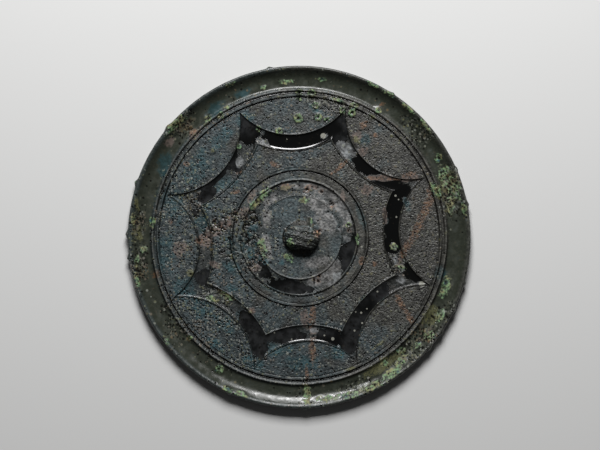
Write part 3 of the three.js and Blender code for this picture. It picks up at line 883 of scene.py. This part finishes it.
def add_node(tree, kind, inputs=None, output=0, **settings):
    """Adds a node, fills or links its inputs, and returns one of its outputs."""
    node = tree.nodes.new(kind)
    for key, value in settings.items():
        setattr(node, key, value)
    for key, value in (inputs or {}).items():
        if isinstance(value, bpy.types.NodeSocket):
            tree.links.new(value, node.inputs[key])
        else:
            node.inputs[key].default_value = value
    return node.outputs[output] if node.outputs else node


class Painter:
    """Short names for the nodes that the patina is mixed from. Sizes are in mm."""

    def __init__(self, tree):
        self.node = partial(add_node, tree)
        self.place = self.node("ShaderNodeTexCoord", output="Object")

    def attribute(self, name):
        return self.node("ShaderNodeAttribute", attribute_name=name, output="Fac")

    def noise(self, size, detail=2.0, shift=0.0, stretch=1.0):
        moved = self.node(
            "ShaderNodeMapping",
            {"Vector": self.place, "Location": (shift, shift, shift), "Scale": (stretch, 1, 1)},
        )
        return self.node(
            "ShaderNodeTexNoise", {"Vector": moved, "Scale": 1 / (size * MM), "Detail": detail}
        )

    def dots(self, size, radius, share):
        """Round dots in a share of the cells of a size, each with a radius that is a share of its cell."""
        cells = self.node(
            "ShaderNodeTexVoronoi", {"Vector": self.place, "Scale": 1 / (size * MM)},
            voronoi_dimensions="2D",
        )
        pick = self.node("ShaderNodeSeparateColor", {"Color": cells.node.outputs["Color"]})
        chosen = self.math("GREATER_THAN", share, pick)
        wide = self.times(radius, self.spread(pick.node.outputs[1], 0.0, 1.0, 0.6, 1.3))
        inside = self.spread(self.math("DIVIDE", cells, wide), 1.15, 0.7)
        return self.times(inside, chosen)

    def beads(self, beads):
        """Single round dots at given places on the decorated side."""
        flat = self.node("ShaderNodeVectorMath", {0: self.place, 1: (1, 1, 0)}, operation="MULTIPLY")
        mask = 0.0
        for x, y, radius in beads:
            away = self.node(
                "ShaderNodeVectorMath", {0: flat, 1: (x * MM, y * MM, 0)},
                operation="DISTANCE", output="Value",
            )
            mask = self.larger(mask, self.spread(away, 1.15 * radius * MM, 0.8 * radius * MM))
        return self.times(mask, self.attribute("upward"))

    def math(self, operation, first, second):
        return self.node("ShaderNodeMath", {0: first, 1: second}, operation=operation)

    def times(self, first, second):
        return self.math("MULTIPLY", first, second)

    def plus(self, first, second):
        return self.math("ADD", first, second)

    def larger(self, first, second):
        return self.math("MAXIMUM", first, second)

    def rest(self, share):
        """What is left of 1."""
        return self.math("SUBTRACT", 1.0, share)

    def spread(self, value, low, high, to_low=0.0, to_high=1.0):
        return self.node(
            "ShaderNodeMapRange",
            {"Value": value, "From Min": low, "From Max": high, "To Min": to_low, "To Max": to_high},
            interpolation_type="SMOOTHSTEP",
        )

    def broken(self, mask, breaker, amount, soft=0.15):
        """A mask whose border is broken up by a noise, and which stays clear where it is 0."""
        shaken = self.times(self.plus(breaker, -0.5), amount)
        return self.spread(self.plus(mask, shaken), 0.5 - soft, 0.5 + soft)

    def over(self, base, colour, mask):
        if not isinstance(colour, bpy.types.NodeSocket):
            colour = (*colour, 1.0)
        if not isinstance(base, bpy.types.NodeSocket):
            base = (*base, 1.0)
        return self.node("ShaderNodeMix", {0: mask, 6: base, 7: colour}, output=2, data_type="RGBA")

    def blend(self, base, value, mask):
        return self.node("ShaderNodeMix", {0: mask, 2: base, 3: value}, output=0, data_type="FLOAT")

    def scaled(self, colour, factor):
        """A colour made lighter or darker by a factor."""
        return self.node("ShaderNodeVectorMath", {0: colour, "Scale": factor}, operation="SCALE")


def patina(c):
    """Aged bronze: brown and slate ground, black gloss, mineral stains, pits and worn crests."""
    material = bpy.data.materials.new("patinated_bronze")
    material.use_nodes = True
    material.node_tree.nodes.clear()
    p = Painter(material.node_tree)

    cloud = p.noise(16, 3, 3.1)
    mottle = p.noise(3.4, 4, 1.7)
    speck = p.noise(1.25, 3, 5.2)
    dust = p.noise(0.62, 2, 8.4)
    strokes = p.noise(0.85, 2, 6.6, stretch=0.35)
    crusty, on_left, rim, hub, knob, ground, warts = (
        p.attribute(name) for name in ("crusty", "left", "rim", "hub", "knob", "ground", "warts")
    )

    # Grain: light and dark grains that scale the ground's colour.
    patterned = p.times(ground, p.spread(on_left, 0.3, 0.8, 0.55, 0.2))
    patterned = p.larger(patterned, knob)
    clean_rim = p.times(rim, p.spread(crusty, 0.0, 0.6, 0.75, 0.05))
    grain = p.blend(p.spread(speck, 0.3, 0.7, 0.45, 1.7), p.spread(speck, 0.3, 0.7, 0.65, 1.4), on_left)
    grain = p.times(grain, p.blend(1.0, p.spread(strokes, 0.32, 0.68, 0.5, 1.6), patterned))
    grain = p.times(grain, p.spread(mottle, 0.3, 0.7, 0.62, 1.38))
    grain = p.times(grain, p.spread(cloud, 0.35, 0.65, 0.82, 1.18))
    grain = p.times(grain, p.spread(on_left, 0.0, 0.4, 0.88, 1.0))
    grain = p.blend(grain, p.times(grain, p.spread(strokes, 0.36, 0.64, 0.4, 2.0)), knob)
    grain = p.blend(grain, 1.0, clean_rim)

    # Flecks and holes too small for the mesh.
    dense = p.plus(p.times(crusty, 0.3), p.spread(on_left, 0.3, 0.8, 0.03, 0.07))
    dense = p.times(dense, p.spread(cloud, 0.35, 0.65, 0.4, 1.6))
    dense = p.times(dense, p.spread(hub, 0.0, 1.0, 1.0, 0.6))
    dense = p.times(dense, p.rest(clean_rim))
    finer = p.plus(dense, p.times(ground, 0.1))
    flecks = p.larger(p.dots(2.1, 0.29, dense), p.times(p.dots(1.37, 0.36, finer), 0.8))
    holes = p.larger(p.dots(1.9, 0.3, p.times(dense, 0.8)), p.dots(1.23, 0.38, finer))

    # Ground colours and thin stains.
    left = p.plus(on_left, p.times(p.plus(cloud, -0.5), 2.4))
    left = p.plus(left, p.times(hub, 0.25))
    base = p.over(c.soil, c.slate, p.spread(left, 0.3, 0.75))
    base = p.over(base, c.olive, rim)
    base = p.over(base, c.sunk, p.times(knob, 0.8))
    base = p.over(base, c.sunk, p.times(p.attribute("sunk"), p.spread(mottle, 0.3, 0.65, 0.4, 1.0)))
    stains = {}
    for name, breaker, reach, amount, soft, cover in (
        ("haze", mottle, 0.7, 0.9, 0.35, 0.9),
        ("teal", mottle, 0.7, 1.0, 0.45, 0.8),
        ("buff", speck, 0.72, 1.3, 0.3, 0.8),
        ("ash", mottle, 0.7, 1.3, 0.28, 0.85),
        ("rust", speck, 0.62, 1.4, 0.4, 0.75),
    ):
        stains[name] = p.broken(p.times(p.attribute(name), reach), breaker, amount, soft)
        base = p.over(base, getattr(c, name), p.times(stains[name], cover))
    base = p.scaled(base, p.times(grain, p.spread(hub, 0.0, 1.0, 1.0, 1.2)))
    base = p.over(base, c.wear, p.times(p.attribute("crest"), p.spread(mottle, 0.35, 0.65, 0.1, 0.9)))
    # Dirt and painted shade in the grooves, darkened towards the pits' colour.
    grime = p.times(p.attribute("grime"), p.spread(mottle, 0.3, 0.6, 0.75, 1.0))
    base = p.over(base, c.pit, grime)

    # Black gloss, crusts, beads and pits.
    uneven = p.plus(mottle, p.times(p.plus(speck, -0.5), 0.6))
    gloss = p.broken(p.attribute("gloss"), uneven, 1.0, 0.1)
    film = p.times(p.attribute("film"), p.spread(mottle, 0.3, 0.7, 0.15, 0.9))
    base = p.over(base, p.over(c.gloss, c.dust, film), gloss)
    ochre_mask = p.broken(p.times(p.attribute("ochre"), 0.6), dust, 1.2)
    base = p.over(base, c.ochre, p.times(ochre_mask, 0.75))
    green_mask = p.broken(p.times(p.attribute("malachite"), 0.66), speck, 1.2, 0.2)
    shade = p.over(c.malachite, c.teal, p.spread(mottle, 0.42, 0.3))
    shade = p.over(shade, c.ochre, p.spread(mottle, 0.46, 0.62))
    shade = p.scaled(shade, p.spread(speck, 0.34, 0.66, 0.2, 2.2))
    base = p.over(base, shade, p.times(green_mask, 0.85))
    base = p.over(base, c.bead, p.broken(p.times(p.beads(BEADS), 0.8), speck, 1.2))
    deep = p.spread(p.attribute("pits"), 0.15, 0.6, 0.0, 0.95)
    base = p.over(base, c.pit, deep)

    calm = p.rest(p.times(gloss, 0.92))
    fleck_colour = p.over(c.fleck, c.ochre, p.spread(mottle, 0.4, 0.6))
    fleck_colour = p.over(fleck_colour, c.rust, p.spread(cloud, 0.5, 0.62, 0, 0.6))
    dotted = p.times(warts, p.math("SUBTRACT", 0.8, p.times(clean_rim, 0.7)))
    base = p.over(base, fleck_colour, p.times(p.larger(flecks, dotted), p.times(calm, 0.62)))
    holes = p.times(p.larger(holes, p.attribute("cave")), 0.9)
    base = p.over(base, c.pit, holes)

    # Minerals are matt. The gloss is smooth, and so are the bottoms of the pits, which then look deep.
    hidden = p.larger(p.larger(grime, deep), p.times(holes, calm))
    mineral = p.larger(green_mask, p.larger(stains["ash"], stains["buff"]))
    rough = p.blend(p.spread(speck, 0.3, 0.7, 0.4, 0.6), p.spread(mottle, 0.3, 0.7, 0.2, 0.4), rim)
    rough = p.blend(rough, 0.1, gloss)
    rough = p.blend(rough, 0.75, mineral)
    rough = p.blend(rough, 0.14, hidden)

    # The finest relief: worn whorls and strokes on the ground, and the grain of the corrosion.
    swirl = p.node("ShaderNodeTexNoise", {"Vector": p.place, "Scale": 1 / (5 * MM)}, output="Color")
    bent = p.node("ShaderNodeVectorMath", {0: p.place, 1: p.scaled(swirl, 4 * MM)}, operation="ADD")
    cells = p.node(
        "ShaderNodeTexVoronoi", {"Vector": bent, "Scale": 1 / (3.8 * MM), "Randomness": 0.8},
        voronoi_dimensions="2D", feature="F1", output="Distance",
    )
    lines = p.math("SINE", p.times(cells, FULL_TURN * 3.4), 0.0)
    pattern = p.times(p.plus(p.times(lines, 0.35), strokes), patterned)
    surface = p.plus(p.times(speck, 1.3), dust)
    surface = p.plus(surface, p.times(p.math("SUBTRACT", flecks, holes), 0.6))
    surface = p.times(surface, p.rest(p.times(rim, 0.85)))
    height = p.plus(p.times(surface, p.rest(gloss)), pattern)
    bump = p.node(
        "ShaderNodeBump", {"Height": height, "Strength": 1.0, "Distance": 0.2 * MM}, output="Normal"
    )

    shader = p.node(
        "ShaderNodeBsdfPrincipled",
        {"Base Color": base, "Roughness": rough, "Normal": bump, "Metallic": 0.0, "IOR": 1.52},
    )
    p.node("ShaderNodeOutputMaterial", {"Surface": shader})
    return material


def plain_paper(floor_colour):
    """The floor's matt material."""
    material = bpy.data.materials.new("floor_paper")
    material.use_nodes = True
    shader = material.node_tree.nodes["Principled BSDF"]
    shader.inputs["Base Color"].default_value = (*floor_colour, 1)
    shader.inputs["Roughness"].default_value = 0.9
    shader.inputs["Specular IOR Level"].default_value = 0.1
    return material


# ---- Operators ----

FLOOR_GAP = 0.05  # mm, from the floor up to the mirror
AIM_X, AIM_Y = 0.4, 6.4  # mm, the point of the floor below the camera


class MIRROR_OT_casting(bpy.types.Operator):
    """Build the mirror: one casting with its disc, rim, linked arcs, hub and knob"""

    bl_idname = "mirror.casting"
    bl_label = "Build Casting"

    def execute(self, context):
        s = plain_values(context.scene.mirror_sizes)
        mesh = turned_casting(s)
        shape_casting(mesh, s)
        piece = bpy.data.objects.new("mirror_casting", mesh)
        context.scene.collection.objects.link(piece)
        cut_with(piece, cord_hole_cutter(s))
        tidy_mesh(piece.data)
        piece.data.materials.clear()
        piece.data.materials.append(patina(plain_values(context.scene.mirror_patina)))
        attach(piece, "root")
        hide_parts("mirror")
        return {"FINISHED"}


class MIRROR_OT_stage(bpy.types.Operator):
    """Lay the plain floor, set the soft light and place the camera straight above"""

    bl_idname = "mirror.stage"
    bl_label = "Set Stage"

    def execute(self, context):
        values = plain_values(context.scene.mirror_stage)
        scene = context.scene

        bm = bmesh.new()
        bmesh.ops.create_grid(bm, x_segments=1, y_segments=1, size=values.floor_size * MM / 2)
        bmesh.ops.translate(bm, verts=bm.verts, vec=(0, 0, -FLOOR_GAP * MM))
        mesh = bpy.data.meshes.new("floor")
        bm.to_mesh(mesh)
        bm.free()
        mesh.materials.append(plain_paper(values.floor_colour))
        floor = bpy.data.objects.new("floor", mesh)
        scene.collection.objects.link(floor)

        light = bpy.data.lights.new("key", "AREA")
        light.shape = "RECTANGLE"
        light.size = values.key_size * MM
        light.size_y = values.key_size * MM * 0.85
        light.energy = values.key_power
        key = bpy.data.objects.new("key", light)
        reach, rise = values.key_distance * MM, values.key_elevation
        key.location = (0, reach * math.cos(rise), reach * math.sin(rise))
        key.rotation_euler = (-(math.pi / 2 - rise), 0, 0)
        scene.collection.objects.link(key)

        world = bpy.data.worlds.new("studio")
        world.use_nodes = True
        background = world.node_tree.nodes["Background"]
        background.inputs["Color"].default_value = (1, 1, 1, 1)
        background.inputs["Strength"].default_value = values.world_strength
        scene.world = world
        scene.view_settings.view_transform = "Standard"

        camera = bpy.data.cameras.new("camera")
        camera.lens = values.camera_lens
        camera_object = bpy.data.objects.new("camera", camera)
        camera_object.location = (AIM_X * MM, AIM_Y * MM, values.camera_height * MM)
        scene.collection.objects.link(camera_object)
        scene.camera = camera_object
        return {"FINISHED"}


class MIRROR_PT_panel(bpy.types.Panel):
    """Buttons that build the mirror and its stage"""

    bl_label = "Bronze Mirror"
    bl_idname = "MIRROR_PT_panel"
    bl_space_type = "VIEW_3D"
    bl_region_type = "UI"
    bl_category = "Mirror"

    def draw(self, context):
        layout = self.layout
        for operator in OPERATORS:
            layout.operator(operator.bl_idname)
        for group in (context.scene.mirror_sizes, context.scene.mirror_patina, context.scene.mirror_stage):
            box = layout.box()
            for key in group.__annotations__:
                box.prop(group, key)


OPERATORS = (MIRROR_OT_casting, MIRROR_OT_stage)
GROUPS = {"mirror_sizes": CastingSizes, "mirror_patina": PatinaColours, "mirror_stage": StageValues}


def register():
    for cls in (*GROUPS.values(), *OPERATORS, MIRROR_PT_panel):
        bpy.utils.register_class(cls)
    for name, group in GROUPS.items():
        setattr(bpy.types.Scene, name, bpy.props.PointerProperty(type=group))


def unregister():
    for name in GROUPS:
        delattr(bpy.types.Scene, name)
    for cls in reversed((*GROUPS.values(), *OPERATORS, MIRROR_PT_panel)):
        bpy.utils.unregister_class(cls)


def main():
    register()
    bpy.ops.mirror.casting()
    bpy.ops.mirror.stage()


if __name__ == "__main__":
    main()
